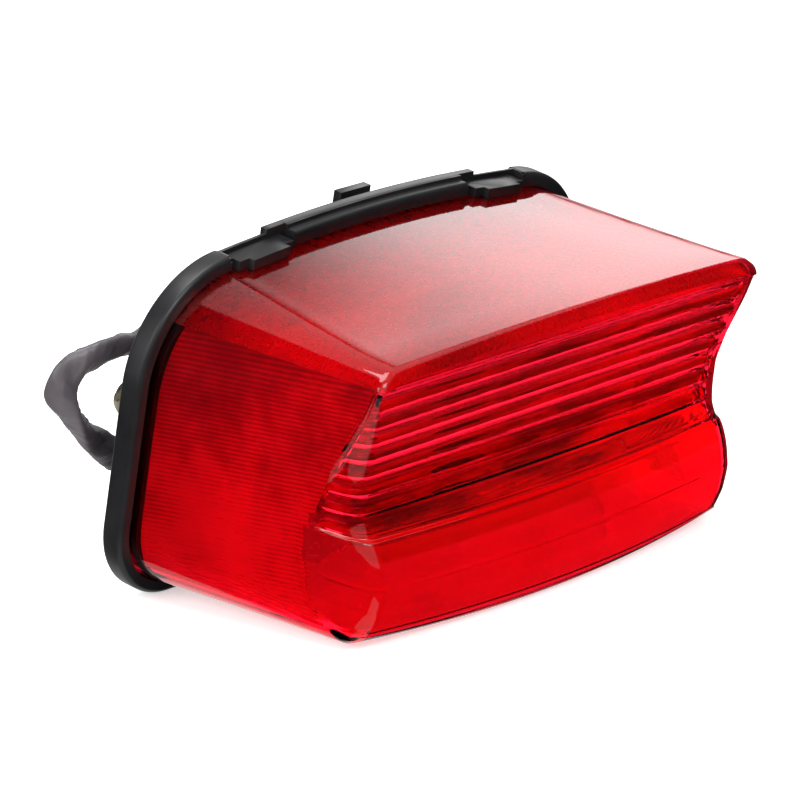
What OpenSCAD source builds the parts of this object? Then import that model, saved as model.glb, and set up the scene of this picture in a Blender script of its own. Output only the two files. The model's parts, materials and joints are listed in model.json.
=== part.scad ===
// Motorcycle tail and stop lamp: red lens on a black housing with two twist-in bulb holders.
// Standing frame: +X across the lamp, -Y to the lens front, +Z up. The lamp stands leaning
// forward on the lower edge of its housing rim and the lower front edge of its lens.
// Inside place() everything is in the lamp frame: y = 0 is the front face of the housing
// rim, z = 0 its lower edge, +Y towards the motorcycle.

/* [Housing] */
// Overall width of the housing rim
rim_w = 208; // [204:1:212]
// Height of the housing rim at the middle
rim_h = 111.6; // [110:0.2:114]
// Depth of the housing rim
rim_t = 7.5; // [7:0.5:8]
// Drop of the rim's crowned top edge at the sides
crown = 8; // [6:0.5:10]
// Half width of the rear tub
tub_x = 72; // [70:1:74]
// Depth of the rear tub behind the rim's front face
tub_y = 15; // [15:0.5:16]

/* [Lens] */
// Half width of the lens at the brow
front_a = 91.5; // [89:0.5:93]
// Height of the lens top at the brow
front_top = 105.6; // [104:0.2:107]
// Height of the lens underside at the front
front_bot = 15.65; // [15.6:0.05:17]
// Wall thickness of the lens
lens_t = 2.5; // [2:0.1:3]
// How far back the rounding of the lens front's upright corners starts, low down
corner_r = 27; // [24:0.5:28]
// Widest that rounding is across the lens
corner_w = 8.5; // [7:0.5:9]

/* [Lamps] */
// Distance of each bulb from the middle
bulb_x = 45; // [44:0.5:46]
// Height of the bulb axes
bulb_z = 58; // [57:0.5:59]
// Radius of the housing's holder bores
holder_bore_r = 15; // [15:0.1:15.2]

/* [Mounting] */
// Distance of each hex insert from the middle
insert_x = 82; // [81:0.5:83]
// Height of the hex inserts
insert_z = 57; // [55:1:59]
// Radius of the inserts' bores, minor radius of an M6 thread
insert_r = 2.5; // [2.4:0.05:2.6]

/* [Stance] */
// Forward lean of the lamp as it stands
lean = 10.4; // [10.3:0.1:10.5]

/* [Hidden] */
$fn = 64;
shift_y = 34.5; // puts the middle of the lamp over the origin
lift = -0.289; // the rim's lower edge touches the surface
stud_len = 12;
sleeve_r = 4.25;
lead_r = 2.5;

// ---------- frames and helpers ----------
module place() translate([0, shift_y, lift]) rotate([lean, 0, 0]) children();
module ycyl(r, y0, y1, x = 0, z = 0, fn = 64)
    translate([x, y1, z]) rotate([90, 0, 0]) cylinder(r = r, h = y1 - y0, $fn = fn);
function mix(a, b, f) = a * (1 - f) + b * f;
// lamp frame point to standing frame, before the shift that centres the lamp
function b(p) = [p[0], p[1] * cos(lean) - p[2] * sin(lean), p[1] * sin(lean) + p[2] * cos(lean) + lift];

// half outline, bottom middle to top middle, as [x, z, normal x, normal z]
function half(a, zt, cr, zb, rt, rb, n) = let (zc = zt - cr * pow((a - rt) / a, 2) - rt) concat(
    [for (i = [0:n[0] - 1]) [(a - rb) * i / n[0], zb, 0, -1]],
    [for (i = [0:n[1] - 1]) let (t = 90 * i / n[1]) [a - rb + rb * sin(t), zb + rb - rb * cos(t), sin(t), -cos(t)]],
    [for (i = [0:n[2] - 1]) [a, zb + rb + (zc - zb - rb) * i / n[2], 1, 0]],
    [for (i = [0:n[3] - 1]) let (t = 90 * i / n[3]) [a - rt + rt * cos(t), zc + rt * sin(t), cos(t), sin(t)]],
    [for (i = [0:n[4]]) let (x = (a - rt) * (1 - i / n[4])) [x, zt - cr * pow(x / a, 2), 0, 1]]);
function ring(a, zt, cr, zb, rt, rb, n) = let (h = half(a, zt, cr, zb, rt, rb, n), m = len(h))
    concat(h, [for (i = [m - 2:-1:1]) [-h[i][0], h[i][1], -h[i][2], h[i][3]]]);
rim_n = [3, 12, 2, 16, 10];
function rim_ring(off) = ring(rim_w / 2 - off, rim_h - off, crown, off, 37 - off, 26 - off, rim_n);
module outline(off) polygon([for (p = rim_ring(off)) [p[0], p[1]]]);
module slab(y0, y1, off) translate([0, y1, 0]) rotate([90, 0, 0]) linear_extrude(height = y1 - y0) outline(off);
module xbox(x0, x1, y0, y1, z0, z1) translate([x0, y0, z0]) cube([x1 - x0, y1 - y0, z1 - z0]);

// closed solid through rings of points, first ring at the back, with a fan over each end
module loft(rings) {
    n = len(rings[0]);
    m = len(rings);
    mids = [for (r = [rings[0], rings[m - 1]]) [for (c = [0:2]) let (v = [for (p = r) p[c]]) (min(v) + max(v)) / 2]];
    polyhedron(points = concat([for (r = rings) each r], mids), faces = concat(
        [for (k = [0:m - 2]) for (i = [0:n - 1]) let (j = (i + 1) % n)
            each [[k * n + i, (k + 1) * n + i, k * n + j], [k * n + j, (k + 1) * n + i, (k + 1) * n + j]]],
        [for (i = [0:n - 1]) [i, (i + 1) % n, m * n]],
        [for (i = [0:n - 1]) [(m - 1) * n + (i + 1) % n, (m - 1) * n + i, m * n + 1]]), convexity = 6);
}

// round tube swept along a route, with frames carried from ring to ring
function unit(v) = v / norm(v);
function dirs(p) = let (n = len(p)) [for (i = [0:n - 1]) unit(p[min(i + 1, n - 1)] - p[max(i - 1, 0)])];
function carry(t, i, v) = i >= len(t) ? [] : let (w = unit(v - (v * t[i]) * t[i])) concat([w], carry(t, i + 1, w));
module tube(p, r, s) {
    t = dirs(p);
    v = carry(t, 0, abs(t[0][2]) < 0.9 ? [0, 0, 1] : [1, 0, 0]);
    loft_any([for (i = [0:len(p) - 1]) let (u = cross(t[i], v[i]))
        [for (k = [0:s - 1]) p[i] + r * (cos(360 * k / s) * v[i] + sin(360 * k / s) * u)]]);
}
module loft_any(rings) {
    n = len(rings[0]);
    m = len(rings);
    polyhedron(points = [for (r = rings) each r], faces = concat(
        [for (k = [0:m - 2]) for (i = [0:n - 1]) let (j = (i + 1) % n)
            each [[k * n + i, (k + 1) * n + i, k * n + j], [k * n + j, (k + 1) * n + i, (k + 1) * n + j]]],
        [[for (i = [0:n - 1]) i]],
        [[for (i = [n - 1:-1:0]) (m - 1) * n + i]]), convexity = 10);
}

// ---------- lens ----------
// forward reach of the lens front at its middle, and how far it falls back at the sides, by height
front_y = [[8, 84], [14, 86], [18, 88], [22, 89.5], [28, 90.4], [36, 90], [43, 88], [48, 85.5], [50, 83],
    [54, 79.5], [60, 77], [68, 75.5], [76, 76], [84, 77.6], [92, 79.2], [98, 80], [104, 79.4], [110, 79]];
front_s = [[8, 10], [14, 10], [18, 8], [22, 7], [28, 6], [36, 5], [48, 5], [50, 4.5], [54, 3.5], [60, 2], [68, 1], [76, 0], [110, 0]];
function yfront(x, z) = -(lookup(z, front_y) - lookup(z, front_s) * pow(x / 87, 2));
// rounding of the upright corners by height, as a share of the largest
corner_share = [[16, 0.15], [18.3, 0.19], [22.8, 0.6], [29, 0.87], [39, 1], [49, 0.87], [61, 0.6], [70, 0.44], [79, 0.3], [90, 0.17], [97, 0.11], [110, 0.11]];
lens_n = [7, 5, 9, 7, 9];
edge_r = 3.5;
function lens_ring2(f, t) = ring(mix(99.3, front_a, f) - t, mix(106.9, front_top, f) - t, mix(7.3, 2, f),
    mix(4.7, front_bot, f) + t, mix(32.3, 8, f) - t * 0.6, mix(21.3, 8, f) - t * 0.6, lens_n);
function lens_rings(t, back) = let (last = lens_ring2(1, t)) concat(
    [[for (p = lens_ring2(0, t)) [p[0], back, p[1]]]],
    [for (f = [0, 0.2, 0.55, 1]) [for (p = lens_ring2(f, t)) let (r = rv(p) - t * 0.5)
        [p[0], f * (yfront(p[0], p[1]) + t + r), p[1]]]],
    [for (a = [20, 42, 65, 90]) [for (p = last) let (r = rv(p) - t * 0.5, x = inset(p, r, 1 - cos(a))[0], z = inset(p, r, 1 - cos(a))[1])
        [x, yfront(x, z) + t + r * (1 - sin(a)), z]]],
    [for (g = [0.86, 0.66, 0.42, 0.16]) [for (p = last) let (r = rv(p) - t * 0.5,
        x = g * inset(p, r, 1)[0], z = 58 + g * (inset(p, r, 1)[1] - 58)) [x, yfront(x, z) + t, z]]]);
function rx(p) = corner_r * lookup(p[1], corner_share) * p[2] * p[2];
function ex(p) = min(corner_w, corner_r * lookup(p[1], corner_share)) * p[2] * p[2];
function rz(p) = edge_r * p[3] * p[3];
function rv(p) = rx(p) + rz(p);
function inset(p, r, c) = let (k = c * r / rv(p)) [p[0] - sign(p[2]) * ex(p) * k, p[1] - sign(p[3]) * rz(p) * k];

module lens() color([0.78, 0.02, 0.05]) place() difference() {
    loft(lens_rings(0, 3.1));
    loft(lens_rings(lens_t, 3.2));
    // seats and slots for the housing's snap tongues
    for (s = [-1, 1]) intersection() {
        difference() { slab(-4.6, 4, -4); slab(-5, 5, 5.9); }
        xbox(s * 55 - 13.5, s * 55 + 13.5, -4.6, 4, 90, 120);
    }
    for (s = [-1, 1]) xbox(s * 55 - 9, s * 55 + 9, -4, -0.8, 98, 110);
}

// ---------- housing ----------
function rrect(x, z0, z1, r) = [for (c = [[x - r, z0 + r, -90], [x - r, z1 - r, 0], [-x + r, z1 - r, 90], [-x + r, z0 + r, 180]])
    for (i = [0:6]) [c[0] + r * cos(c[2] + 15 * i), c[1] + r * sin(c[2] + 15 * i)]];
module rslab(y0, y1, x, z0, z1, r) translate([0, y1, 0]) rotate([90, 0, 0]) linear_extrude(height = y1 - y0) polygon(rrect(x, z0, z1, r));
screw_at = [[-18, 27], [18, 27], [-18, 82], [18, 82]];
clip_at = [[-26, 85, -9], [-42, 24, 9]]; // x and z of each cable clip, and its screw's offset in z

module snap_tongue(s) intersection() {
    union() {
        difference() { slab(-3.4, 7, 1.4); slab(-4, 8, 4.4); }
        difference() { slab(-3.4, -1.4, 3); slab(-4, -1, 6.3); }
    }
    union() {
        xbox(s * 55 - 12, s * 55 + 12, -1.3, 7, 100, 120);
        xbox(s * 55 - 8, s * 55 + 8, -3.4, -1.1, 98, 120);
    }
}
module housing() color([0.07, 0.07, 0.075]) place() {
    difference() {
        union() {
            slab(1.6, rim_t - 1.6, 0);
            slab(0.6, rim_t - 0.6, 0.5);
            slab(0, rim_t, 1.6);
            // raised strip between the tongues
            intersection() { slab(3.6, rim_t, -1.4); xbox(-49, 49, 3, 8, 95, 120); }
            rslab(5, tub_y, tub_x, 12, 92, 12);
            for (s = [-1, 1]) {
                ycyl(19, 14, 20, s * bulb_x, bulb_z);
                ycyl(8, 7, 18, s * insert_x, insert_z);
                for (z = [34, 80]) xbox(min(s * 70, s * 94), max(s * 70, s * 94), 7, 11, z - 0.9, z + 0.9);
                xbox(s * insert_x - 0.9, s * insert_x + 0.9, 7, 13, 34, 80);
                xbox(s * 30 - 0.9, s * 30 + 0.9, 7, 11, 91, 103);
            }
            for (c = clip_at) ycyl(3.6, 14, 15, c[0], c[1] + c[2]);
        }
        // channel for the lens edge and the opening inside it
        difference() { slab(-1, 5, 4.1); slab(-2, 6, 8.3); }
        slab(-1, 5, 9.2);
        rslab(4, tub_y - 2.5, tub_x - 2.5, 14.5, 89.5, 9.5);
        for (s = [-1, 1]) {
            ycyl(holder_bore_r, 4, 21, s * bulb_x, bulb_z, 96);
            // entry slots for the holder's lugs, 45 degrees from the locked position
            for (k = [0:2]) translate([s * bulb_x, 0, bulb_z]) rotate([0, 120 * k + 45, 0]) xbox(10, 17.9, 4, 21, -3.4, 3.4);
            translate([s * insert_x, 18.1, insert_z]) rotate([90, 0, 0]) cylinder(r = 5.8, h = 6.1, $fn = 6);
            // openings beside each snap tongue
            intersection() {
                difference() { slab(-1, 5, -3); slab(-2, 6, 8.3); }
                xbox(s * 55 - 14, s * 55 + 14, -1, 5, 95, 120);
            }
        }
        for (c = clip_at) ycyl(1.3, 12.6, 15.1, c[0], c[1] + c[2]);
    }
    for (s = [-1, 1]) {
        snap_tongue(s);
        // lower tongues under the lens
        translate([s * 61 - 11, 6, 1.2]) rotate([-8.2, 0, 0]) translate([0, -18, 0]) cube([22, 18, 2.4]);
    }
    // screw pillars for the reflector
    for (p = screw_at) difference() {
        ycyl(3.6, 7.8, 13, p[0], p[1]);
        ycyl(1.3, 7, 12.4, p[0], p[1]);
    }
    // locating hook at the top
    difference() {
        xbox(-7, 7, 7, 15, 103.4, 112.4);
        xbox(-8, 8, 6.9 + 0.6, 12, 106.4, 113);
    }
}
module lens_gasket() color([0.12, 0.12, 0.12]) place() difference() { slab(3.2, 5, 4.6); slab(3, 6, 7.3); }

module mount_inserts() color([0.78, 0.74, 0.52]) place() for (s = [-1, 1]) difference() {
    translate([s * insert_x, 24, insert_z]) intersection() {
        rotate([90, 0, 0]) cylinder(r = 5.77, h = 12, $fn = 6);
        rotate([90, 0, 0]) cylinder(r1 = 5.1, r2 = 17.1, h = 12, $fn = 64);
    }
    ycyl(insert_r, 13, 25, s * insert_x, insert_z);
}

// ---------- reflector ----------
function refl_ring(y, x, z0, z1, r) = [for (p = rrect(x, z0, z1, r)) [p[0], y, p[1]]];
module reflector() color([0.85, 0.86, 0.88]) place() difference() {
    loft([refl_ring(7.8, 66, 18, 88, 10), refl_ring(4.6, 68, 17.5, 88.6, 10), refl_ring(-10, 78, 16, 93, 12), refl_ring(-34, 89, 16.5, 99, 12)]);
    loft([refl_ring(6.2, 64.4, 19.6, 86.4, 9), refl_ring(4, 66.4, 19, 87, 9), refl_ring(-10, 76.4, 17.6, 91.4, 11), refl_ring(-34.1, 87.4, 18.1, 97.4, 11)]);
    for (s = [-1, 1]) ycyl(13.6, 5, 9, s * bulb_x, bulb_z);
    for (p = screw_at) ycyl(1.8, 5, 9, p[0], p[1]);
}
module pan_screw(x, z, y, len, r, hr) {
    ycyl(r, y, y + len, x, z, 32);
    difference() {
        ycyl(hr, y - 1.7, y, x, z, 32);
        for (a = [0, 90]) translate([x, y - 1.7, z]) rotate([0, a, 0]) cube([hr * 1.1, 1.6, 0.7], center = true);
    }
}
module reflector_screws() color([0.75, 0.75, 0.72]) place() for (p = screw_at) pan_screw(p[0], p[1], 6.15, 6, 1.25, 3);

// ---------- bulb holders ----------
module holder(s) place() translate([s * bulb_x, 0, bulb_z]) difference() {
    union() {
        ycyl(holder_bore_r - 0.08, 9.4, 22);
        ycyl(20, 21.8, 24.6);
        ycyl(11, 24, 31);
        for (k = [0:2]) rotate([0, 120 * k, 0]) xbox(13.6, 17.2, 9.4, 12.1, -2.7, 2.7);
        for (a = [0, 180]) rotate([0, a, 0]) xbox(9, 17.5, 24, 30, -1.6, 1.6);
    }
    ycyl(9.4, 9, 19);
    ycyl(8.26, 18.9, 24);
    ycyl(7.9, 23.9, 29.4);
    ycyl(2.2, 29, 32);
    // grip notches round the flange
    for (k = [0:11]) rotate([0, 30 * k + 15, 0]) translate([20.9, 0, 0]) ycyl(2, 21, 25.5, 0, 0, 20);
}
module holder_left() color([0.10, 0.10, 0.11]) holder(-1);
module holder_right() color([0.10, 0.10, 0.11]) holder(1);
module holder_seal(s) place() translate([s * bulb_x, 0, bulb_z]) difference() { ycyl(18.4, 20.1, 21.75); ycyl(15.1, 20, 22); }
module holder_seal_left() color([0.16, 0.16, 0.16]) holder_seal(-1);
module holder_seal_right() color([0.16, 0.16, 0.16]) holder_seal(1);
module sector(a0, a1, y0, y1) translate([0, y1, 0]) rotate([90, 0, 0]) linear_extrude(height = y1 - y0)
    polygon([for (q = [0:11]) let (i = q < 6 ? q : 11 - q, a = a0 + (a1 - a0) * i / 5, r = q < 6 ? 7 : 9.5) [r * cos(a), r * sin(a)]]);
// bayonet sleeve with an entry slot and a locking notch for each pin
module socket_shell(s) place() translate([s * bulb_x, 0, bulb_z]) difference() {
    ycyl(8.24, 8.6, 23.8);
    ycyl(7.65, 8, 24.5);
    for (k = [0, 1]) rotate([0, 90 + 180 * k, 0]) {
        xbox(7, 9, 11.3 + 3 * k, 14.5 + 3 * k, -1.25, 1.25);
        rotate([0, 30, 0]) xbox(7, 9, 8, 14.5 + 3 * k, -1.25, 1.25);
        sector(-42, 12, 13.4 + 3 * k, 15.8 + 3 * k);
    }
}
module socket_shell_left() color([0.82, 0.68, 0.36]) socket_shell(-1);
module socket_shell_right() color([0.82, 0.68, 0.36]) socket_shell(1);
module lead_boot(s) place() translate([s * bulb_x, 0, bulb_z]) rotate([-90, 0, 0])
    rotate_extrude() polygon([[0, 31], [9, 31], [9, 32.5], [7.6, 33.2], [7.6, 34.2], [6.2, 34.8], [6.2, 35.8], [4.8, 36.4], [4.4, 38], [0, 38]]);
module lead_boot_left() color([0.13, 0.13, 0.14]) lead_boot(-1);
module lead_boot_right() color([0.13, 0.13, 0.14]) lead_boot(1);

// ---------- bulbs: 12 V 21/5 W, two filaments, offset pins ----------
function glass_half(t) = concat(
    [[0, 7 - (t > 0 ? 1.2 : 0)], [6.9 - t, 7 - (t > 0 ? 1.2 : 0)], [6.9 - t, 2]],
    [for (i = [0:6]) let (f = i / 6) [6.9 - t + 5.5 * (3 * f * f - 2 * f * f * f), 2 - 13 * f]],
    [for (i = [1:8]) let (a = 90 * i / 8) [(12.4 - t) * cos(a), -11 - 2 - (14 - t) * sin(a) + 2 * (1 - sin(a))]]);
module bulb_glass(s) place() translate([s * bulb_x, 0, bulb_z]) rotate([-90, 0, 0]) rotate_extrude() difference() {
    polygon(glass_half(0));
    polygon(glass_half(0.8));
}
module bulb_glass_left() color([0.9, 0.92, 0.95, 0.4]) bulb_glass(-1);
module bulb_glass_right() color([0.9, 0.92, 0.95, 0.4]) bulb_glass(1);
module bulb_cap(s) place() translate([s * bulb_x, 0, bulb_z]) {
    difference() { ycyl(7.6, 3, 21); ycyl(6.95, 2, 7); }
    ycyl(5.6, 20.9, 21.4);
    for (x = [-3.2, 3.2]) ycyl(1.5, 21.3, 22, x, 0, 32);
    rotate([0, 90, 0]) translate([7, 12.6, 0]) rotate([0, 90, 0]) cylinder(r = 1, h = 1.9, $fn = 32);
    rotate([0, 270, 0]) translate([7, 15.6, 0]) rotate([0, 90, 0]) cylinder(r = 1, h = 1.9, $fn = 32);
}
module bulb_cap_left() color([0.80, 0.70, 0.42]) bulb_cap(-1);
module bulb_cap_right() color([0.80, 0.70, 0.42]) bulb_cap(1);
module bulb_filaments(s) place() translate([s * bulb_x, 0, bulb_z]) {
    ycyl(2.2, 0, 5.8, 0, 0, 32);
    for (p = [[-1.6, -1, -8], [1.6, -1, -8], [-1.6, 1.2, -15], [1.6, 1.2, -15]]) ycyl(0.3, p[2], 1, p[0], p[1], 16);
    for (p = [[-1, -7.9], [1.2, -14.9]]) translate([-3.5, p[1], p[0]]) rotate([0, 90, 0]) cylinder(r = 0.55, h = 7, $fn = 24);
}
module bulb_filaments_left() color([0.6, 0.6, 0.62]) bulb_filaments(-1);
module bulb_filaments_right() color([0.6, 0.6, 0.62]) bulb_filaments(1);
module contact_plate(s) place() translate([s * bulb_x, 0, bulb_z]) {
    difference() { ycyl(7.3, 22.3, 23.8); for (x = [-3.2, 3.2]) ycyl(1.8, 22, 24, x, 0, 32); }
    for (x = [-3.2, 3.2]) ycyl(1.8, 22.05, 24.1, x, 0, 32);
}
module contact_plate_left() color([0.55, 0.38, 0.20]) contact_plate(-1);
module contact_plate_right() color([0.55, 0.38, 0.20]) contact_plate(1);
module contact_spring(s) place() translate([s * bulb_x, 24, bulb_z])
    tube([for (i = [0:36]) let (a = 30 * i) [6.3 * cos(a), 0.45 + 2.5 * i / 36, 6.3 * sin(a)]], 0.35, 6);
module contact_spring_left() color([0.7, 0.7, 0.7]) contact_spring(-1);
module contact_spring_right() color([0.7, 0.7, 0.7]) contact_spring(1);

// ---------- harness ----------
module cable_clips() color([0.09, 0.09, 0.09]) place() for (c = clip_at) translate([c[0], 0, c[1]]) difference() {
    union() {
        translate([-4, 21, 0]) rotate([0, 90, 0]) cylinder(r = 5.9, h = 8);
        xbox(-4, 4, 15.1, 16.7, min(0, c[2] + sign(c[2]) * 4), max(0, c[2] + sign(c[2]) * 4));
    }
    translate([-5, 21, 0]) rotate([0, 90, 0]) cylinder(r = sleeve_r + 0.1, h = 10);
    ycyl(1.6, 14, 18, 0, c[2], 32);
}
module clip_screws() color([0.75, 0.75, 0.72]) place() for (c = clip_at) translate([c[0], 0, c[1] + c[2]]) {
    ycyl(1.25, 12.8, 16.75, 0, 0, 32);
    difference() {
        ycyl(2.9, 16.75, 18.3, 0, 0, 32);
        for (a = [0, 90]) translate([0, 18.3, 0]) rotate([0, a, 0]) cube([3.4, 1.4, 0.7], center = true);
    }
}
lead_left_at = [b([-45, 38, 58]), b([-45, 43, 58]), b([-44, 48, 59]), b([-39, 51.5, 60.5]), b([-31, 53, 63]), b([-21, 52.5, 66.5]),
    b([-11, 50, 70.5]), b([-1, 46.5, 74.5]), b([8, 42, 78]), b([15, 36, 80.5]), b([18.5, 29.5, 82]), b([16, 24, 82.5]), b([9.5, 21.3, 82.5]), b([3.15, 21, 82.5])];
lead_right_at = [b([45, 38, 58]), b([45, 43, 58]), b([44.5, 47.5, 60]), b([41.5, 49.5, 65]), b([38, 48.5, 71]), b([34.5, 44.5, 77]),
    b([31.5, 38, 82]), b([28.5, 31, 85.5]), b([24, 25, 87.2]), b([17.5, 21.8, 87.5]), b([10, 21, 87.5]), b([3.15, 21, 87.5])];
sleeve_at = [b([-15, 21, 85]), b([-20, 21, 85]), b([-26, 21, 85]), b([-32, 21, 85]), b([-40, 21.3, 85.2]), b([-48, 22, 84.5]), b([-56, 23, 82.5]),
    b([-64, 24.3, 79]), b([-71, 25.4, 75.5]), b([-78.5, 26.4, 73]), b([-86.4, 27, 72.6]), b([-93.5, 27.6, 71.6]), b([-99.5, 28.4, 69.6]),
    b([-103.6, 29.2, 66.4]), b([-105, 29.5, 62]), b([-103.6, 29.5, 57.5]), b([-99.8, 29.3, 52.8]), b([-95, 28.8, 47.6]), b([-89.5, 28.3, 42.6]),
    b([-82.5, 27.4, 37.6]), b([-74, 25.6, 32.4]), b([-65.5, 23.4, 27.8]), b([-57, 21.6, 24.9]), b([-49, 21, 24]), b([-42, 21, 24]), b([-35, 21, 24]),
    b([-28, 21.6, 23.2]), b([-21, 24, 20.4]), b([-14.5, 28, 15.8]), b([-8.5, 33.5, 10]), b([-2, 40, 3.6]), [5.5, 45, 6], [13.5, 50, 4.6], [22, 53.5, 4.4], [31, 55, 4.5], [40, 55, 4.6]];
module lead_left() color([0.10, 0.10, 0.10]) translate([0, shift_y, 0]) tube(lead_left_at, lead_r, 8);
module lead_right() color([0.10, 0.10, 0.10]) translate([0, shift_y, 0]) tube(lead_right_at, lead_r, 8);
module splice_wrap() color([0.08, 0.08, 0.08]) place() translate([-15, 21, 85]) rotate([0, 90, 0]) cylinder(r = 5.6, h = 18);
module harness_sleeve() color([0.27, 0.25, 0.27]) translate([0, shift_y, 0]) tube(sleeve_at, sleeve_r, 12);
module connector_boot() color([0.12, 0.12, 0.12]) translate([40.6, shift_y + 55, 4.6]) rotate([0, 90, 0]) cylinder(r1 = 4.4, r2 = 4.6, h = 6.4);
module connector_housing() color([0.85, 0.84, 0.78]) translate([47, shift_y + 55, 0]) difference() {
    union() {
        translate([0, -8, 0]) cube([24, 16, 9.4]);
        translate([6, -2.5, 9.3]) cube([12, 5, 1.8]);
        translate([2, -9, 1.5]) cube([6, 18, 6.4]);
    }
    for (y = [-5, 0, 5]) translate([12, y - 1.9, 2.7]) cube([13, 3.8, 3.8]);
}
module connector_terminals() color([0.80, 0.70, 0.42]) for (y = [-5, 0, 5])
    translate([55, shift_y + 55 + y - 1.4, 4.2]) cube([15.5, 2.8, 0.8]);

lens();
housing();
lens_gasket();
reflector();
reflector_screws();
mount_inserts();
holder_left();
holder_right();
holder_seal_left();
holder_seal_right();
socket_shell_left();
socket_shell_right();
lead_boot_left();
lead_boot_right();
bulb_glass_left();
bulb_glass_right();
bulb_cap_left();
bulb_cap_right();
bulb_filaments_left();
bulb_filaments_right();
contact_plate_left();
contact_plate_right();
contact_spring_left();
contact_spring_right();
cable_clips();
clip_screws();
lead_left();
lead_right();
splice_wrap();
harness_sleeve();
connector_boot();
connector_housing();
connector_terminals();
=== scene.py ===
import json
import math

import bmesh
import bpy
import numpy as np
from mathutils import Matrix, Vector


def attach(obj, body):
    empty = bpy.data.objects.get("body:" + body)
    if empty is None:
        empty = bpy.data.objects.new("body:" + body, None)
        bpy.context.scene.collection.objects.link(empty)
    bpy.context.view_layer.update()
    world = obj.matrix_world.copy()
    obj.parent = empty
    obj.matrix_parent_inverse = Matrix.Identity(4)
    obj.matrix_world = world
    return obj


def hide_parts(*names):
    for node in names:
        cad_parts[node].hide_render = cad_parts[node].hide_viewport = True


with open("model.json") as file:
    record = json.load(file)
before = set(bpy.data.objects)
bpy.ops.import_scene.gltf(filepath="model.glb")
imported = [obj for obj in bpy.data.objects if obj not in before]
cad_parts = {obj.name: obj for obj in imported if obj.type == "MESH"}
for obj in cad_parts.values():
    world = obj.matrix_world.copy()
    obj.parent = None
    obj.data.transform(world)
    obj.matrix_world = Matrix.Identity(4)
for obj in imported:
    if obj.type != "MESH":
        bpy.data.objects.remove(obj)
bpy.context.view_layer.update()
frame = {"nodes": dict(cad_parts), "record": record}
scene = bpy.context.scene

LEAN = math.radians(10.4)
CL, SL = math.cos(LEAN), math.sin(LEAN)
SHIFT, LIFT = 34.5, -0.289


def lamp(x, y, z):
    """Lamp frame in mm (lens faces -y, back plate upright) to the row frame in metres."""
    return (x / 1000, (y * CL - z * SL + SHIFT) / 1000, (y * SL + z * CL + LIFT) / 1000)


def lamp_all(p):
    p = np.asarray(p, float)
    out = np.empty_like(p)
    out[:, 0] = p[:, 0] / 1000
    out[:, 1] = (p[:, 1] * CL - p[:, 2] * SL + SHIFT) / 1000
    out[:, 2] = (p[:, 1] * SL + p[:, 2] * CL + LIFT) / 1000
    return out


# ---------- camera ----------
cam = bpy.data.cameras.new("camera")
cam_o = bpy.data.objects.new("camera", cam)
scene.collection.objects.link(cam_o)
cam.sensor_width = 36
cam.lens = 245.14
cam.clip_start, cam.clip_end = 0.05, 50
cam_at, aim = Vector((-1.23623, -1.03813, 0.51240)), Vector((0.00727, 0.0145, 0.0453))
cam_o.location = cam_at
cam_o.rotation_euler = (aim - cam_at).to_track_quat("-Z", "Y").to_euler()
scene.camera = cam_o


# ---------- material helpers ----------
class Nodes:
    def __init__(self, name):
        self.mat = bpy.data.materials.new(name)
        self.mat.use_nodes = True
        self.t = self.mat.node_tree
        self.bsdf = self.t.nodes["Principled BSDF"]
        self.coord = self.t.nodes.new("ShaderNodeTexCoord").outputs["Object"]

    def add(self, kind, **props):
        n = self.t.nodes.new(kind)
        for k, v in props.items():
            setattr(n, k, v)
        return n

    def link(self, a, b):
        self.t.links.new(a, b)

    def sockets(self, **values):
        for k, v in values.items():
            self.bsdf.inputs[k.replace("_", " ")].default_value = v
        return self

    def noise(self, scale, detail=3.0, rough=0.55, stretch=None):
        n = self.add("ShaderNodeTexNoise")
        n.inputs["Scale"].default_value = scale
        n.inputs["Detail"].default_value = detail
        n.inputs["Roughness"].default_value = rough
        src = self.coord
        if stretch:
            m = self.add("ShaderNodeMapping")
            m.inputs["Scale"].default_value = stretch
            self.link(src, m.inputs["Vector"])
            src = m.outputs["Vector"]
        self.link(src, n.inputs["Vector"])
        return n.outputs["Fac"]

    def ramp(self, fac, stops):
        r = self.add("ShaderNodeValToRGB")
        el = r.color_ramp.elements
        while len(el) < len(stops):
            el.new(0.5)
        for e, (pos, col) in zip(el, stops):
            e.position = pos
            e.color = col if len(col) == 4 else (*col, 1)
        self.link(fac, r.inputs["Fac"])
        return r.outputs["Color"]

    def span(self, fac, a, b, lo=0.0, hi=1.0):
        m = self.add("ShaderNodeMapRange")
        m.inputs["From Min"].default_value = lo
        m.inputs["From Max"].default_value = hi
        m.inputs["To Min"].default_value = a
        m.inputs["To Max"].default_value = b
        self.link(fac, m.inputs["Value"])
        return m.outputs["Result"]

    def colour(self, sock):
        self.link(sock, self.bsdf.inputs["Base Color"])
        return self

    def rough(self, sock):
        self.link(sock, self.bsdf.inputs["Roughness"])
        return self

    def bump(self, height, strength, dist):
        b = self.add("ShaderNodeBump")
        b.inputs["Strength"].default_value = strength
        b.inputs["Distance"].default_value = dist
        self.link(height, b.inputs["Height"])
        self.link(b.outputs["Normal"], self.bsdf.inputs["Normal"])
        return self


def mix_add(n, a, b, fac):
    m = n.add("ShaderNodeMath", operation="MULTIPLY_ADD")
    n.link(b, m.inputs[0])
    m.inputs[1].default_value = fac
    n.link(a, m.inputs[2])
    return m.outputs[0]


def plastic(name, c0, c1, r0, r1, grain=2600, strength=0.25, spec=0.5):
    n = Nodes(name).sockets(Specular_IOR_Level=spec)
    big = n.noise(45, 5, 0.6)
    fine = n.noise(grain, 2, 0.5)
    n.colour(n.ramp(big, [(0.3, c0), (0.7, c1)]))
    n.rough(n.span(mix_add(n, big, fine, 0.35), r0, r1, 0.35, 0.95))
    n.bump(fine, strength, 0.00006)
    return n.mat


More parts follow.
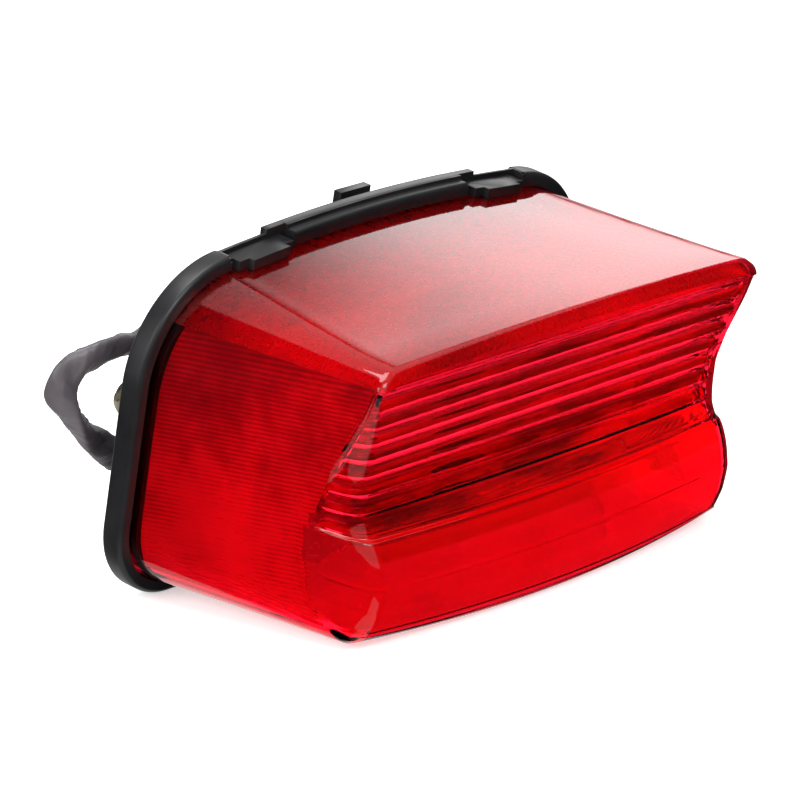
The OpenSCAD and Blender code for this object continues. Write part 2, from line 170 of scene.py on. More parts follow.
def metal(name, c0, c1, r0, r1, stretch=(1, 1, 1), scale=500):
    n = Nodes(name).sockets(Metallic=1.0)
    big = n.noise(120, 4, 0.6)
    fine = n.noise(scale, 3, 0.6, stretch)
    n.colour(n.ramp(big, [(0.25, c0), (0.75, c1)]))
    n.rough(n.span(fine, r0, r1, 0.3, 0.7))
    n.bump(fine, 0.12, 0.00004)
    return n.mat


def lens_material():
    n = Nodes("red_lens").sockets(IOR=1.49, Transmission_Weight=1.0)
    big = n.noise(60, 4, 0.55)
    dust = n.noise(900, 5, 0.7)
    n.colour(n.ramp(big, [(0.3, (0.97, 0.006, 0.030)), (0.7, (0.99, 0.012, 0.044))]))
    n.rough(n.span(dust, 0.012, 0.05, 0.45, 0.8))
    return n.mat


def lens_ribbed():
    n = Nodes("red_lens_ribbed_painted_shade").sockets(IOR=1.49, Transmission_Weight=0.55)
    big = n.noise(60, 4, 0.55)
    dust = n.noise(400, 5, 0.7)
    # painted shading: the ribs show as fine upright lines painted in light and shade, and painted shade darkens the
    # wall towards its top
    w = n.add("ShaderNodeTexWave", wave_type="BANDS", bands_direction="Z", wave_profile="SIN")
    w.inputs["Scale"].default_value = 230
    w.inputs["Distortion"].default_value = 0.15
    n.link(n.coord, w.inputs["Vector"])
    sep = n.add("ShaderNodeSeparateXYZ")
    n.link(n.coord, sep.inputs[0])
    up = n.span(sep.outputs[2], 0.0, 1.0, 0.030, 0.105)
    painted_shade_tone = mix_add(n, mix_add(n, big, up, -0.75), w.outputs["Fac"], 0.28)
    # random tone, with the ramp's dark end carrying the painted shade and the painted rib lines
    n.colour(n.ramp(painted_shade_tone, [(0.0, (0.16, 0.002, 0.005)), (0.30, (0.50, 0.003, 0.010)), (0.60, (0.99, 0.018, 0.055))]))
    n.rough(n.span(dust, 0.30, 0.42, 0.35, 0.7))
    return n.mat


def lens_window():
    """Painted shade in streaks that run across the fluted window and darken it in patches."""
    n = Nodes("red_lens_window_painted_shade").sockets(IOR=1.49, Transmission_Weight=1.0)
    painted_shade_streak = n.noise(95, 5, 0.6, (0.22, 1, 1.5))
    # the ramp's dark end is painted shade
    n.colour(n.ramp(painted_shade_streak, [(0.40, (0.10, 0.001, 0.002)), (0.50, (0.50, 0.002, 0.006)), (0.60, (0.97, 0.009, 0.028))]))
    n.rough(n.span(n.noise(900, 5, 0.7), 0.015, 0.06, 0.45, 0.8))
    return n.mat


def lens_soft():
    """The moulded grain inside the top wall, which blurs what lies behind it."""
    n = Nodes("red_lens_soft").sockets(IOR=1.49, Transmission_Weight=0.8)
    big = n.noise(60, 4, 0.55)
    n.colour(n.ramp(big, [(0.3, (0.72, 0.004, 0.014)), (0.7, (0.85, 0.008, 0.022))]))
    n.rough(n.span(n.noise(400, 5, 0.7), 0.24, 0.34, 0.35, 0.7))
    return n.mat


def reflector_material():
    """Vacuum-silvered plastic, slightly soft in its reflections."""
    n = Nodes("silver_reflector").sockets(Metallic=0.45, Specular_IOR_Level=0.6)
    big = n.noise(35, 4, 0.55)
    fine = n.noise(500, 3, 0.6)
    n.colour(n.ramp(big, [(0.3, (0.86, 0.86, 0.87)), (0.7, (0.94, 0.94, 0.95))]))
    n.rough(n.span(fine, 0.16, 0.3, 0.3, 0.7))
    return n.mat


def glass_material():
    n = Nodes("clear_glass").sockets(IOR=1.3, Transmission_Weight=1.0)
    dust = n.noise(700, 4, 0.6)
    n.colour(n.ramp(dust, [(0.3, (0.96, 0.97, 0.98)), (0.7, (1, 1, 1))]))
    n.rough(n.span(dust, 0.0, 0.04, 0.45, 0.8))
    return n.mat


def sleeve_material():
    n = Nodes("grey_pvc").sockets(Specular_IOR_Level=0.55)
    big = n.noise(60, 5, 0.6)
    fold = n.noise(260, 4, 0.6, (1, 1, 2.2))
    n.colour(n.ramp(big, [(0.3, (0.052, 0.045, 0.052)), (0.7, (0.085, 0.073, 0.082))]))
    n.rough(n.span(fold, 0.28, 0.5, 0.3, 0.7))
    n.bump(fold, 0.35, 0.0004)
    return n.mat


def tape_material():
    n = Nodes("harness_tape").sockets(Specular_IOR_Level=0.5)
    w = n.add("ShaderNodeTexWave", wave_type="BANDS", bands_direction="X", wave_profile="SAW")
    w.inputs["Scale"].default_value = 38
    w.inputs["Distortion"].default_value = 0.6
    w.inputs["Detail"].default_value = 2
    n.link(n.coord, w.inputs["Vector"])
    big = n.noise(160, 4, 0.6)
    n.colour(n.ramp(big, [(0.3, (0.018, 0.018, 0.02)), (0.7, (0.04, 0.04, 0.043))]))
    n.rough(n.span(big, 0.3, 0.5, 0.3, 0.7))
    n.bump(w.outputs["Fac"], 0.6, 0.0003)
    return n.mat


def fibre_material():
    n = Nodes("fibre_board").sockets(Specular_IOR_Level=0.3)
    f = n.noise(900, 5, 0.7, (1, 6, 1))
    n.colour(n.ramp(f, [(0.3, (0.16, 0.085, 0.035)), (0.7, (0.30, 0.18, 0.09))]))
    n.rough(n.span(f, 0.55, 0.8, 0.3, 0.7))
    n.bump(f, 0.3, 0.0001)
    return n.mat


M = {
    "red_lens": lens_material(),
    "red_lens_ribbed_painted_shade": lens_ribbed(),
    "red_lens_soft": lens_soft(),
    "red_lens_window_painted_shade": lens_window(),
    "black_housing": plastic("black_housing", (0.005, 0.005, 0.006), (0.011, 0.011, 0.012), 0.26, 0.42, 2200, 0.3, 0.36),
    "foam": plastic("foam", (0.02, 0.02, 0.02), (0.045, 0.045, 0.045), 0.8, 0.95, 1400, 0.8, 0.2),
    "silver_reflector": reflector_material(),
    "zinc_steel": metal("zinc_steel", (0.50, 0.50, 0.49), (0.66, 0.66, 0.64), 0.22, 0.4),
    "yellow_zinc": metal("yellow_zinc", (0.55, 0.48, 0.28), (0.74, 0.69, 0.48), 0.22, 0.42),
    "black_nylon": plastic("black_nylon", (0.017, 0.017, 0.018), (0.032, 0.032, 0.034), 0.35, 0.5, 2400, 0.3),
    "black_rubber": plastic("black_rubber", (0.014, 0.014, 0.015), (0.028, 0.028, 0.029), 0.55, 0.75, 1800, 0.4, 0.35),
    "black_pvc": plastic("black_pvc", (0.012, 0.012, 0.013), (0.025, 0.025, 0.026), 0.32, 0.48, 1500, 0.2),
    "harness_tape": tape_material(),
    "grey_pvc": sleeve_material(),
    "natural_nylon": plastic("natural_nylon", (0.58, 0.56, 0.48), (0.70, 0.68, 0.60), 0.3, 0.45, 1800, 0.2),
    "tinned_brass": metal("tinned_brass", (0.62, 0.58, 0.46), (0.78, 0.74, 0.62), 0.2, 0.38, (1, 5, 1)),
    "nickel_brass": metal("nickel_brass", (0.62, 0.50, 0.28), (0.74, 0.64, 0.40), 0.22, 0.4, (1, 6, 1)),
    "clear_glass": glass_material(),
    "filament": metal("filament", (0.30, 0.30, 0.32), (0.45, 0.45, 0.47), 0.35, 0.55),
    "fibre_board": fibre_material(),
    "spring_steel": metal("spring_steel", (0.50, 0.50, 0.51), (0.62, 0.62, 0.63), 0.2, 0.35),
}
SLOT = {s["node"]: s["material_slot"] for s in frame["record"]["subparts"]}


def body_name(node):
    for b, names in frame["record"]["behaviour"]["bodies"].items():
        if node in names:
            return b


def piece(name, verts, faces, slot, body, stands_for=(), smooth=True):
    me = bpy.data.meshes.new(name)
    me.from_pydata([tuple(map(float, v)) for v in verts], [], [tuple(map(int, f)) for f in faces])
    me.validate()
    me.materials.append(M[slot])
    if smooth:
        me.shade_smooth()
    o = bpy.data.objects.new(name, me)
    scene.collection.objects.link(o)
    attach(o, body)
    if stands_for:
        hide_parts(*stands_for)
    return o


# ---------- cords: the same routes as the solids, in the lamp frame and then on the floor ----------
def smooth_route(pts, step=0.0011):
    """Catmull-Rom through the points, resampled at even steps."""
    p = np.array(pts, float)
    q = np.vstack([2 * p[0] - p[1], p, 2 * p[-1] - p[-2]])
    out = []
    for i in range(1, len(q) - 2):
        t = np.linspace(0, 1, 24, endpoint=False)[:, None]
        a, b, c, d = q[i - 1], q[i], q[i + 1], q[i + 2]
        out.append(0.5 * (2 * b + (c - a) * t + (2 * a - 5 * b + 4 * c - d) * t**2 + (3 * b - a - 3 * c + d) * t**3))
    out = np.vstack(out + [p[-1:]])
    s = np.r_[0, np.cumsum(np.linalg.norm(np.diff(out, axis=0), axis=1))]
    n = int(s[-1] / step) + 1
    u = np.linspace(0, s[-1], n)
    return np.column_stack([np.interp(u, s, out[:, k]) for k in range(3)]), s[-1]


def frames(path, up=(0, 0, 1)):
    t = np.gradient(path, axis=0)
    t /= np.linalg.norm(t, axis=1)[:, None]
    v = np.array(up, float)
    if abs(t[0] @ v) > 0.9:
        v = np.array([1.0, 0, 0])
    V = []
    for k in t:
        v = v - (v @ k) * k
        v /= np.linalg.norm(v)
        V.append(v)
    V = np.array(V)
    return t, V, np.cross(t, V)


def tube_mesh(path, radius, sides):
    """radius(i, angles) gives the two offsets of each ring's points along the frame's two directions."""
    t, V, U = frames(path)
    ang = np.linspace(0, 2 * math.pi, sides, endpoint=False)
    verts = []
    for i in range(len(path)):
        a, b = radius(i, ang)
        verts.append(path[i] + a[:, None] * V[i] + b[:, None] * U[i])
    verts = np.vstack(verts)
    n = len(path)
    faces = [
        (k * sides + i, k * sides + (i + 1) % sides, (k + 1) * sides + (i + 1) % sides, (k + 1) * sides + i)
        for k in range(n - 1)
        for i in range(sides)
    ]
    faces += [tuple(range(sides))[::-1], tuple((n - 1) * sides + i for i in range(sides))]
    return verts, faces


LEAD_L = [(-45, 38, 58), (-45, 43, 58), (-44, 48, 59), (-39, 51.5, 60.5), (-31, 53, 63), (-21, 52.5, 66.5), (-11, 50, 70.5),
          (-1, 46.5, 74.5), (8, 42, 78), (15, 36, 80.5), (18.5, 29.5, 82), (16, 24, 82.5), (9.5, 21.3, 82.5), (3.15, 21, 82.5)]
LEAD_R = [(45, 38, 58), (45, 43, 58), (44.5, 47.5, 60), (41.5, 49.5, 65), (38, 48.5, 71), (34.5, 44.5, 77), (31.5, 38, 82),
          (28.5, 31, 85.5), (24, 25, 87.2), (17.5, 21.8, 87.5), (10, 21, 87.5), (3.15, 21, 87.5)]
SLEEVE = [(-15, 21, 85), (-20, 21, 85), (-26, 21, 85), (-32, 21, 85), (-40, 21.3, 85.2), (-48, 22, 84.5), (-56, 23, 82.5),
          (-64, 24.3, 79), (-71, 25.4, 75.5), (-78.5, 26.4, 73), (-86.4, 27, 72.6), (-93.5, 27.6, 71.6), (-99.5, 28.4, 69.6),
          (-103.6, 29.2, 66.4), (-105, 29.5, 62), (-103.6, 29.5, 57.5), (-99.8, 29.3, 52.8), (-95, 28.8, 47.6),
          (-89.5, 28.3, 42.6), (-82.5, 27.4, 37.6), (-74, 25.6, 32.4), (-65.5, 23.4, 27.8), (-57, 21.6, 24.9), (-49, 21, 24),
          (-42, 21, 24), (-35, 21, 24), (-28, 21.6, 23.2), (-21, 24, 20.4), (-14.5, 28, 15.8), (-8.5, 33.5, 10), (-2, 40, 3.6)]
FLOOR = [(5.5, 45, 6), (13.5, 50, 4.6), (22, 53.5, 4.4), (31, 55, 4.5), (40, 55, 4.6)]
floor_pts = [(x / 1000, (y + SHIFT) / 1000, z / 1000) for x, y, z in FLOOR]

for name, pts in (("lead_left", LEAD_L), ("lead_right", LEAD_R)):
    path, length = smooth_route([lamp(*p) for p in pts], 0.0015)
    v, f = tube_mesh(path, lambda i, a: (0.0025 * np.cos(a), 0.0025 * np.sin(a)), 20)
    o = piece(name + "_wire", v, f, "black_pvc", body_name(name), (name,))

path, sleeve_len = smooth_route([lamp(*p) for p in SLEEVE] + floor_pts, 0.0009)
rng = np.random.default_rng(7)
arc = np.r_[0, np.cumsum(np.linalg.norm(np.diff(path, axis=0), axis=1))] * 1000
waves = [(rng.uniform(0.25, 0.9), rng.integers(1, 4), rng.uniform(0, 6.28), rng.uniform(0.03, 0.09)) for _ in range(9)]


def near(i, point, reach, fade):
    d = np.linalg.norm(path[i] - np.array(point)) * 1000
    return float(np.clip((d - reach) / fade, 0, 1))


def sleeve_ring(i, a):
    """Flattened, twisted and creased where it hangs free, round where a clip, the tape or the boot holds it."""
    free = min(near(i, lamp(-26, 21, 85), 6, 9), near(i, lamp(-42, 21, 24), 6, 9), near(i, path[0], 5, 8), near(i, path[-1], 5, 8))
    s = arc[i]
    tw = 0.5 + 0.035 * s + 0.7 * math.sin(s / 17)
    c, sn = np.cos(a - tw), np.sin(a - tw)
    wide, thin = 4.25 + 0.75 * free, 4.25 - 1.05 * free
    sharp = 1 + 0.35 * free
    x = wide * np.sign(c) * np.abs(c) ** sharp
    y = thin * np.sign(sn) * np.abs(sn) ** (1 + 0.10 * free)
    r = np.zeros_like(a)
    for k, m, ph, amp in waves:
        r += amp * np.sin(k * s + m * a * 1.0 + ph) ** 3
    kink = math.exp(-(((s - kink_s) / 3.2) ** 2))
    y *= 1 - 0.22 * kink
    x, y = x * (1 + free * r * 0.55), y * (1 + free * r)
    ca, sa = math.cos(tw), math.sin(tw)
    return (x * ca - y * sa) / 1000, (x * sa + y * ca) / 1000


kink_s = arc[int(np.argmin(path[:, 0]))] - 3
v, f = tube_mesh(path, sleeve_ring, 40)
o = piece("harness_sleeving", v, f, "grey_pvc", body_name("harness_sleeve"), ("harness_sleeve",))

# ---------- lens ----------
PZ = np.array([8, 14, 18, 22, 28, 36, 43, 48, 50, 54, 60, 68, 76, 84, 92, 98, 104, 110.0])
PY = np.array([84, 86, 88, 89.5, 90.4, 90, 88, 85.5, 83, 79.5, 77, 75.5, 76, 77.6, 79.2, 80, 79.4, 79])
SY = np.array([10, 10, 8, 7, 6, 5, 5, 5, 4.5, 3.5, 2, 1, 0, 0, 0, 0, 0, 0.0])
_fz = np.linspace(8, 110, 409)
_k = np.exp(-0.5 * (np.arange(-14, 15) / 5.0) ** 2)
_k /= _k.sum()
_py = np.convolve(np.pad(np.interp(_fz, PZ, PY), 14, mode="edge"), _k, "valid")
_sy = np.convolve(np.pad(np.interp(_fz, PZ, SY), 14, mode="edge"), _k, "valid")


def yf(x, z):
    return -(np.interp(z, _fz, _py) - np.interp(z, _fz, _sy) * (x / 87.0) ** 2)


CZ = [16, 18.3, 22.8, 29, 39, 49, 61, 70, 79, 90, 97, 110]
CR = [4.05, 5.13, 16.2, 23.5, 27, 23.5, 16.2, 11.9, 8.1, 4.6, 3, 3]


def rounding(z, n):
    """Depth of the front's rounding: the corner's share along x, and the top and bottom edges' share along z."""
    return np.interp(z, CZ, CR) * n[:, 0] ** 2, 3.5 * n[:, 1] ** 2


def smoothstep(x, a, b):
    t = np.clip((x - a) / (b - a), 0, 1)
    return t * t * (3 - 2 * t)


F0 = np.array([99.3, 106.9, 7.3, 4.7, 32.3, 21.3])
F1 = np.array([91.5, 105.6, 2.0, 15.65, 8.0, 8.0])
NX, NZ = 64, 400


def outline(f, t):
    a, zt, cr, zb, rt, rb = F0 * (1 - f) + F1 * f
    return outline_of(a - t, zt - t, cr, zb + t, rt - 0.6 * t, rb - 0.6 * t, NX, NZ)


def outline_of(a, zt, cr, zb, rt, rb, NX, NZ):
    """Rows of x, z and the outward normal, from the lower left corner round past the right, top and left."""
    zc = zt - cr * ((a - rt) / a) ** 2 - rt
    h = math.sqrt(0.5)
    # right side by z
    z = np.linspace(zb + rb * (1 - h), zc + rt * h, NZ + 1)
    x = np.full_like(z, a)
    n = np.column_stack([np.ones_like(z), np.zeros_like(z)])
    lo, hi = z < zb + rb, z > zc
    w = zb + rb - z[lo]
    x[lo] = a - rb + np.sqrt(rb * rb - w * w)
    n[lo] = np.column_stack([np.sqrt(rb * rb - w * w), -w]) / rb
    w = z[hi] - zc
    x[hi] = a - rt + np.sqrt(rt * rt - w * w)
    n[hi] = np.column_stack([np.sqrt(rt * rt - w * w), w]) / rt
    right = np.column_stack([x, z, n])
    # bottom and top by x
    ends = []
    for r, is_top in ((rb, False), (rt, True)):
        xe = a - r + r * h
        xs = np.linspace(-xe, xe, NX + 1)
        w = np.clip(np.abs(xs) - (a - r), 0, None)
        drop = np.sqrt(r * r - w * w)
        if is_top:
            zz = np.where(w > 0, zc + drop, zt - cr * (xs / a) ** 2)
            nn = np.column_stack([np.sign(xs) * w / r, drop / r])
        else:
            zz = zb + r - drop
            nn = np.column_stack([np.sign(xs) * w / r, -drop / r])
        ends.append(np.column_stack([xs, zz, nn]))
    bottom, top = ends
    left = right[::-1] * [-1, 1, -1, 1]
    return np.vstack([bottom[:-1], right[:-1], top[::-1][:-1], left[:-1]])


BORDER_Z = np.array([10, 18.3, 22.8, 29.3, 39.3, 49.3, 61.3, 79.4, 96.5, 104])
BORDER_Y = np.array([-84, -75.5, -66, -60.1, -56.7, -57.3, -60.7, -68.4, -80, -84])


def flutes(z, pitch, sharp=1.0):
    s = np.abs(((z / pitch) % 1.0) * 2 - 1)
    return 1 - s**2 * sharp


def side_rib(P, n):
    """Fine prism ribs inside the side walls, ending at a curved border before the front."""
    y, z = P[:, 1], P[:, 2]
    border = np.interp(z, BORDER_Z, BORDER_Y)
    on = smoothstep(y, border - 0.6, border + 0.6) * smoothstep(-y, 5.0, 6.5)
    on *= smoothstep(np.abs(n[:, 0]), 0.75, 0.93)
    return 0.42 * flutes(z, 1.26) * on


def recess(x, z):
    """The window below the brow is set back from the brow, the corners and the lower band."""
    r = smoothstep(z, 49.2, 50.0) * smoothstep(-z, -98.6, -97.8)
    return 1.1 * r


def front_rib(x, z):
    """Wide horizontal flutes inside the window, and a shallow frame inside the lower band."""
    pitch = 47.6 / 8
    on = smoothstep(z, 50.0, 50.6) * smoothstep(-z, -97.8, -97.2)
    low = smoothstep(z, 21.0, 21.5) * smoothstep(-z, -48.3, -47.8)
    mid = np.exp(-(((z - 35.5) / 0.5) ** 2)) * smoothstep(-np.abs(x), -74, -70)
    return 1.35 * flutes(z - 50.0, pitch) * on - 0.5 * low + 0.12 * mid


def shell(t, back, fs):
    """Points of one skin: the wall rings from back to front, the rounding, then the front as a grid."""
    rings = []
    for k, f in enumerate([None] + fs):
        o = outline(0 if f is None else f, t)
        x, z, n = o[:, 0], o[:, 1], o[:, 2:]
        rx, rz = rounding(z, n)
        y = np.full_like(x, back) if f is None else f * (yf(x, z) + t + rx + rz - t * 0.5)
        P = np.column_stack([x, y, z])
        if t > 0 and f is not None:
            h = side_rib(P, n)
            P[:, 0] -= n[:, 0] * h
            P[:, 2] -= n[:, 1] * h
        rings.append(P)
    o = outline(1, t)
    x0, z0, n = o[:, 0], o[:, 1], o[:, 2:]
    rx, rz = rounding(z0, n)
    r = rx + rz - t * 0.5
    ex = np.minimum(8.5, np.interp(z0, CZ, CR)) * n[:, 0] ** 2
    kx, kz = ex * r / (rx + rz), rz * r / (rx + rz)
    for deg in (6, 12, 18, 24, 30, 36, 42, 48, 54, 60, 66, 72, 78, 84, 90):
        a = math.radians(deg)
        x, z = x0 - np.sign(n[:, 0]) * kx * (1 - math.cos(a)), z0 - np.sign(n[:, 1]) * kz * (1 - math.cos(a))
        y = yf(x, z) + t + r * (1 - math.sin(a))
        # the window's set-back and ribs run on round the corner
        side = smoothstep(np.abs(n[:, 0]), 0.8, 0.97) * smoothstep(deg + 0 * x, 14, 26)
        d = recess(0 * x, z) + (front_rib(0 * x, z) if t > 0 else 0)
        x = x - np.sign(x) * math.cos(a) * side * d
        y = y + math.sin(a) * side * d
        rings.append(np.column_stack([x, y, z]))
    last = rings[-1]
    B, R = last[: NX + 1], last[NX : NX + NZ + 1]
    T = last[NX + NZ : 2 * NX + NZ + 1][::-1]
    L = np.vstack([last[2 * NX + NZ :], last[:1]])[::-1]
    u, v = np.linspace(0, 1, NX + 1)[None, :, None], np.linspace(0, 1, NZ + 1)[:, None, None]
    G = (1 - v) * B[None] + v * T[None] + (1 - u) * L[:, None] + u * R[:, None]
    G -= (1 - u) * (1 - v) * B[0] + u * (1 - v) * B[-1] + (1 - u) * v * T[0] + u * v * T[-1]
    gx, gz = G[1:-1, 1:-1, 0], G[1:-1, 1:-1, 2]
    y = yf(gx, gz) + t + recess(gx, gz)
    if t > 0:
        y = y + front_rib(gx, gz)
    inner = np.column_stack([gx.ravel(), y.ravel(), gz.ravel()])
    return rings, inner


def shell_faces(rings, base, flip):
    n = len(rings[0])
    f = []
    for k in range(len(rings) - 1):
        for i in range(n):
            j = (i + 1) % n
            f.append((base + k * n + i, base + k * n + j, base + (k + 1) * n + j, base + (k + 1) * n + i))
    last = base + (len(rings) - 1) * n
    inner0 = base + len(rings) * n

    def at(row, col):
        if row == 0:
            return last + col
        if col == NX:
            return last + NX + row
        if row == NZ:
            return last + 2 * NX + NZ - col
        if col == 0:
            return last + 2 * NX + 2 * NZ - row
        return inner0 + (row - 1) * (NX - 1) + col - 1

    for row in range(NZ):
        for col in range(NX):
            f.append((at(row, col), at(row, col + 1), at(row + 1, col + 1), at(row + 1, col)))
    return [q[::-1] for q in f] if flip else f


outer_r, outer_g = shell(0.0, 3.1, [0, 0.1, 0.25, 0.4, 0.55, 0.7, 0.85, 1])
inner_r, inner_g = shell(2.5, 3.1, [0, 0.04, 0.07, 0.1, 0.2, 0.3, 0.4, 0.5, 0.55, 0.6, 0.64, 0.68, 0.72, 0.76, 0.8, 0.84, 0.88, 0.92, 0.96, 1])
vo = np.vstack(outer_r + [outer_g])
vi = np.vstack(inner_r + [inner_g])
n_ring = len(outer_r[0])
faces = shell_faces(outer_r, 0, False) + shell_faces(inner_r, len(vo), True)
faces += [(i, len(vo) + i, len(vo) + (i + 1) % n_ring, (i + 1) % n_ring) for i in range(n_ring)]
lens = piece("lens_shell", lamp_all(np.vstack([vo, vi])), faces, "red_lens", body_name("lens"), ("lens",))
bm = bmesh.new()
bm.from_mesh(lens.data)
bmesh.ops.recalc_face_normals(bm, faces=bm.faces)
bm.to_mesh(lens.data)
bm.free()
lens.data.materials.append(M["red_lens_ribbed_painted_shade"])
lens.data.materials.append(M["red_lens_soft"])
lens.data.materials.append(M["red_lens_window_painted_shade"])
lens.data.set_sharp_from_angle(angle=math.radians(38))
in0 = len(shell_faces(outer_r, 0, False))
for k in range(len(inner_r) - 1):
    for i in range(n_ring):
        q = inner_r[k][i]
        if k > 1 and (NX + 8 <= i < NX + NZ - 8 or 2 * NX + NZ + 8 <= i < n_ring - 8) and q[1] > np.interp(q[2], BORDER_Z, BORDER_Y):
            lens.data.polygons[in0 + k * n_ring + i].material_index = 1
        elif NX + NZ - 8 <= i < 2 * NX + NZ + 8:
            lens.data.polygons[in0 + k * n_ring + i].material_index = 2
        elif k >= len(inner_r) - 15 and 50.2 < q[2] < 97.4 and abs(q[0]) > 60:
            lens.data.polygons[in0 + k * n_ring + i].material_index = 3
        elif k >= len(inner_r) - 15 and q[2] > 98 and abs(q[0]) > 60:
            lens.data.polygons[in0 + k * n_ring + i].material_index = 2
grid0 = in0 + (len(inner_r) - 1) * n_ring
grid_z = inner_g.reshape(NZ - 1, NX - 1, 3)[:, :, 2]
for row in range(1, NZ - 1):
    for col in range(NX):
        if 50.2 < grid_z[row, min(max(col - 1, 0), NX - 2)] < 97.4:
            lens.data.polygons[grid0 + row * NX + col].material_index = 3


# ---------- rim: a rounded bar over the housing's edge, open where the two top tongues sit ----------
def sweep(name, xz, profile):
    """profile is a closed loop of (inset, y), carried along the outline points xz, with flat ends."""
    t = np.gradient(xz, axis=0)
    t /= np.linalg.norm(t, axis=1)[:, None]
    nrm = np.column_stack([t[:, 1], -t[:, 0]])
    m = len(profile)
    v = []
    for p, n in zip(xz, nrm):
        for off, y in profile:
            q = p - n * off
            v.append((q[0], y, q[1]))
    f = []
    for k in range(len(xz) - 1):
        for i in range(m):
            j = (i + 1) % m
            f.append((k * m + i, k * m + j, (k + 1) * m + j, (k + 1) * m + i))
    f += [tuple(range(m))[::-1], tuple((len(xz) - 1) * m + i for i in range(m))]
    o = piece(name, lamp_all(v), f, "black_housing", "lamp")
    b = bmesh.new()
    b.from_mesh(o.data)
    bmesh.ops.recalc_face_normals(b, faces=b.faces)
    b.to_mesh(o.data)
    b.free()
    o.data.set_sharp_from_angle(angle=math.radians(50))
    return o


def corner(cx, cy, r, a0, a1, n=6):
    return [(cx + r * math.cos(math.radians(a)), cy + r * math.sin(math.radians(a))) for a in np.linspace(a0, a1, n)]


rim = outline_of(104.0, 111.6, 8.0, 0.0, 37.0, 26.0, 160, 160)[:, :2]
top_i = np.arange(320, 480)
right_end = top_i[rim[top_i, 0] > 69.2][-1]
left_start = top_i[rim[top_i, 0] < -69.2][0]
loop = np.vstack([rim[left_start:], rim[: right_end + 1]])
mid = rim[top_i[np.abs(rim[top_i, 0]) < 40.8]]
# a loop of (inset, y): front lip, front outer corner, back outer corner, back
bar = [(4.05, -0.06)] + corner(1.72, 1.74, 1.8, -90, -180) + corner(1.22, 6.26, 1.3, 180, 90) + [(4.05, 7.56)]
strip = [(4.05, -0.06)] + corner(1.72, 1.74, 1.8, -90, -180) + [(-0.1, 3.0), (-0.5, 3.5)] + corner(-0.48, 4.5, 1.0, 250, 180, 4) + corner(-0.28, 6.36, 1.2, 180, 90) + [(4.05, 7.56)]
sweep("housing_rim", loop, bar)
sweep("housing_rim_top", mid, strip)


# ---------- hard parts: the CAD solids with softened edges ----------
def softened(node, width, angle=35, segments=2, name=None, cut=0.6):
    src = frame["nodes"][node]
    bm = bmesh.new()
    bm.from_mesh(src.data)
    bmesh.ops.remove_doubles(bm, verts=bm.verts, dist=2e-6)
    bmesh.ops.dissolve_limit(bm, angle_limit=math.radians(cut), verts=bm.verts, edges=bm.edges)
    me = bpy.data.meshes.new(name or node + "_soft")
    bm.to_mesh(me)
    bm.free()
    me.materials.clear()
    me.materials.append(M[SLOT[node]])
    for p in me.polygons:
        p.material_index = 0
    me.shade_smooth()
    o = bpy.data.objects.new(name or node + "_soft", me)
    scene.collection.objects.link(o)
    b = o.modifiers.new("edge", "BEVEL")
    b.width, b.segments, b.limit_method = width, segments, "ANGLE"
    b.angle_limit = math.radians(angle)
    b.use_clamp_overlap = True
    b.harden_normals = True
    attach(o, body_name(node))
    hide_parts(node)
    return o


softened("housing", 0.00035)
for q in ("left", "right"):
    softened("holder_" + q, 0.0003)
softened("connector_housing", 0.0004)
softened("mount_inserts", 0.0002)
softened("cable_clips", 0.0003)

# every CAD node that still shows keeps its shape and gets its own material
for node, obj in frame["nodes"].items():
    if obj.hide_render:
        continue
    for s in obj.material_slots:
        s.material = M[SLOT[node]]
    if not obj.material_slots:
        obj.data.materials.append(M[SLOT[node]])

# ---------- stage ----------
fm = Nodes("floor_white").sockets(Specular_IOR_Level=0.2, Roughness=0.6, Emission_Color=(1, 1, 1, 1), Emission_Strength=0.5)
fm.colour(fm.ramp(fm.noise(3, 2), [(0.3, (0.93, 0.93, 0.93)), (0.7, (0.96, 0.96, 0.96))]))
me = bpy.data.meshes.new("floor")
me.from_pydata([(-6, -6, 0), (6, -6, 0), (6, 6, 0), (-6, 6, 0)], [], [(0, 1, 2, 3)])
me.materials.append(fm.mat)
floor = bpy.data.objects.new("floor", me)
scene.collection.objects.link(floor)
floor.visible_glossy = False

# a dark card off to the right in front keeps the lens face free of glare
cm = Nodes("card_black").sockets(Specular_IOR_Level=0.0, Roughness=1.0)
cm.colour(cm.ramp(cm.noise(3, 2), [(0.3, (0.01, 0.01, 0.01)), (0.7, (0.02, 0.02, 0.02))]))
me = bpy.data.meshes.new("card")
me.from_pydata([(0.75, 0.25, -0.9), (0.75, 0.25, 0.55), (-0.05, -0.95, 0.55), (-0.05, -0.95, -0.9)], [], [(0, 1, 2, 3)])
me.materials.append(cm.mat)
card = bpy.data.objects.new("card", me)
scene.collection.objects.link(card)
card.visible_camera = False
card.visible_shadow = False
card.visible_diffuse = False

# and one low on the left behind, which only the glossy side wall and rim see
me = bpy.data.meshes.new("card_left")
me.from_pydata([(-1.6, -0.5, -1.3), (-1.6, -0.5, 2.4), (-0.15, 1.6, 2.4), (-0.15, 1.6, -1.3),
                (-1.6, -0.5, 0.0), (-1.5, -1.5, 0.0), (-1.5, -1.5, -1.3), (0.0, -1.6, 0.0), (0.0, -1.6, -1.3)], [],
               [(0, 1, 2, 3), (0, 4, 5, 6), (6, 5, 7, 8)])
me.materials.append(cm.mat)
side = bpy.data.objects.new("card_left", me)
scene.collection.objects.link(side)
side.visible_camera = False
side.visible_shadow = False
side.visible_diffuse = False
side.visible_transmission = False


def area(name, at, to, size, power, colour=(1, 1, 1)):
    l = bpy.data.lights.new(name, "AREA")
    l.shape = "RECTANGLE"
    l.size, l.size_y = size
    l.energy = power
    l.color = colour
    o = bpy.data.objects.new(name, l)
    o.location = at
    o.rotation_euler = (Vector(to) - Vector(at)).to_track_quat("-Z", "Y").to_euler()
    scene.collection.objects.link(o)
    o.visible_camera = False
    return o


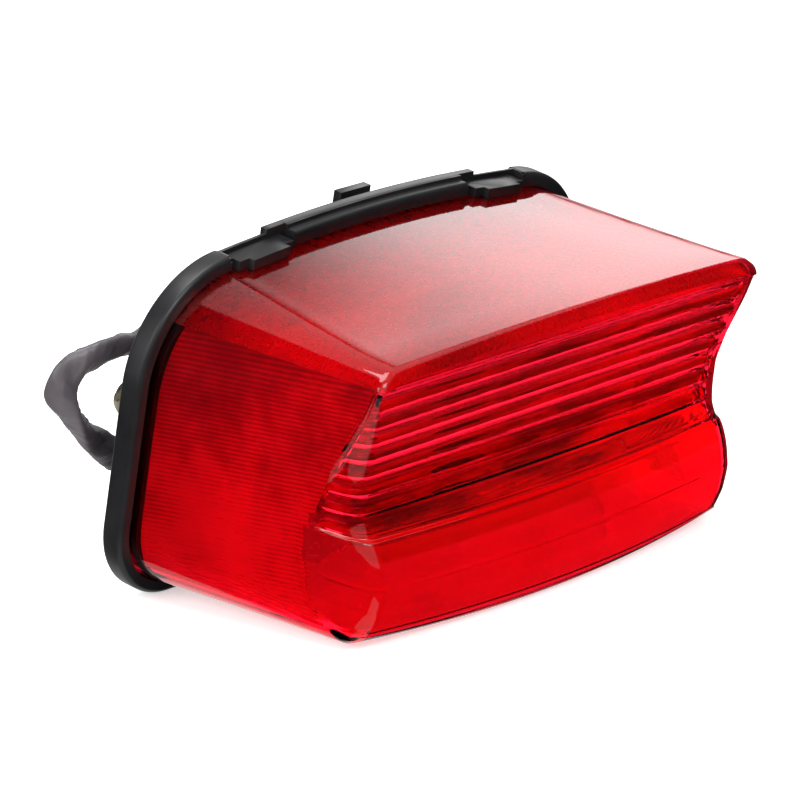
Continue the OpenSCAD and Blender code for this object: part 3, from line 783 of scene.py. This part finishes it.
def softbox(name, at, to, w, h, strength, edge):
    """A glowing panel that fades towards its sides, not seen by the camera."""
    me = bpy.data.meshes.new(name)
    me.from_pydata([(-w / 2, -h / 2, 0), (w / 2, -h / 2, 0), (w / 2, h / 2, 0), (-w / 2, h / 2, 0)], [], [(0, 1, 2, 3)])
    o = bpy.data.objects.new(name, me)
    o.location = at
    o.rotation_euler = (Vector(to) - Vector(at)).to_track_quat("-Z", "Y").to_euler()
    scene.collection.objects.link(o)
    n = Nodes(name)
    n.t.nodes.remove(n.bsdf)
    em = n.add("ShaderNodeEmission")
    sep = n.add("ShaderNodeSeparateXYZ")
    n.link(n.coord, sep.inputs[0])
    parts = []
    for axis, half in ((0, w / 2), (1, h / 2)):
        a = n.add("ShaderNodeMath", operation="ABSOLUTE")
        n.link(sep.outputs[axis], a.inputs[0])
        r = n.add("ShaderNodeMapRange", interpolation_type="SMOOTHSTEP")
        r.inputs["From Min"].default_value = half * (1 - edge)
        r.inputs["From Max"].default_value = half
        r.inputs["To Min"].default_value = 1.0
        r.inputs["To Max"].default_value = 0.0
        n.link(a.outputs[0], r.inputs["Value"])
        parts.append(r.outputs["Result"])
    m = n.add("ShaderNodeMath", operation="MULTIPLY")
    n.link(parts[0], m.inputs[0])
    n.link(parts[1], m.inputs[1])
    k = n.add("ShaderNodeMath", operation="MULTIPLY")
    n.link(m.outputs[0], k.inputs[0])
    k.inputs[1].default_value = strength
    n.link(k.outputs[0], em.inputs["Strength"])
    n.link(em.outputs[0], n.t.nodes["Material Output"].inputs["Surface"])
    me.materials.append(n.mat)
    o.visible_camera = False
    o.visible_shadow = False
    return o


softbox("back_box", (0.99, 0.60, 0.59), (0, 0, 0.08), 1.12, 0.78, 3.1, 0.85)
area("top_box", (-0.1, 0.1, 1.5), (0, 0, 0.06), (0.9, 0.9), 16)
area("left_fill", (-1.3, 0.2, 0.6), (0, 0, 0.06), (1.0, 0.8), 14)
area("front_top", (-0.5, -1.0, 1.0), (0, 0, 0.06), (0.8, 0.5), 9)

world = bpy.data.worlds.new("studio")
scene.world = world
world.use_nodes = True
world.node_tree.nodes["Background"].inputs["Color"].default_value = (1, 1, 1, 1)
world.node_tree.nodes["Background"].inputs["Strength"].default_value = 0.7
scene.view_settings.view_transform = "Standard"
scene.view_settings.look = "None"
